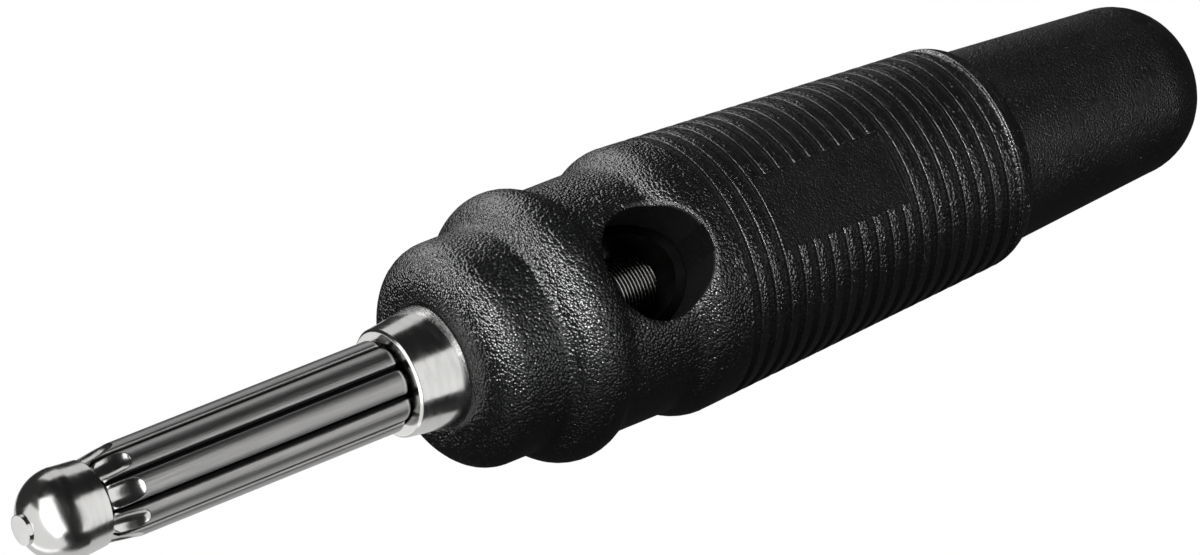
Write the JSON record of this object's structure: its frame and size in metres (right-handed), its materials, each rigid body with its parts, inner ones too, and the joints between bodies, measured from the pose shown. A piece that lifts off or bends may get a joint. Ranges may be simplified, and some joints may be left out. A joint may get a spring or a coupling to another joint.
{
  "type": "banana plug",
  "caption": "Single-pole banana plug with a spring-leaf contact pin, a black ribbed grip with a cross hole for the lead, and a screw cap at the rear that clamps it.",
  "frame": {"origin": "on the plug's axis, in the plane of the moulding's front face", "axes": "+X along the plug's axis from the pin to the cap, +Z along the cross hole to the side with the label field"},
  "size_m": [0.0611, 0.0118, 0.0118],
  "materials": {
    "moulding": "black, coarse spark-eroded grain",
    "cap": "black, fine matte grain",
    "nickel": "polished nickel plate",
    "spring": "satin nickel, drawn lengthwise",
    "screw": "nickel plate on a fine thread"
  },
  "bodies": {
    "plug": {"insulating_body": "moulding", "contact_body": "nickel", "core_pin": "nickel", "spring_leaf_1": "spring", "spring_leaf_2": "spring", "spring_leaf_3": "spring", "spring_leaf_4": "spring", "spring_leaf_5": "spring", "spring_leaf_6": "spring", "spring_leaf_7": "spring", "spring_leaf_8": "spring", "spring_leaf_9": "spring"},
    "screw": {"clamp_screw": "screw"},
    "cap": {"screw_cap": "cap"}
  },
  "joints": [
    {"name": "screw_advance", "type": "slide", "parent": "plug", "child": "screw", "axis": [1, 0, 0], "range_m": [0, 0.00385]},
    {"name": "screw_turn", "type": "hinge", "parent": "screw", "child": "cap", "pos_m": [0.03, 0, 0], "axis": [1, 0, 0], "range_deg": [0, 3960]}
  ],
  "couplings": [
    {"joint": "screw_turn", "follows": "screw_advance", "rad_per_m": 17952}
  ]
}
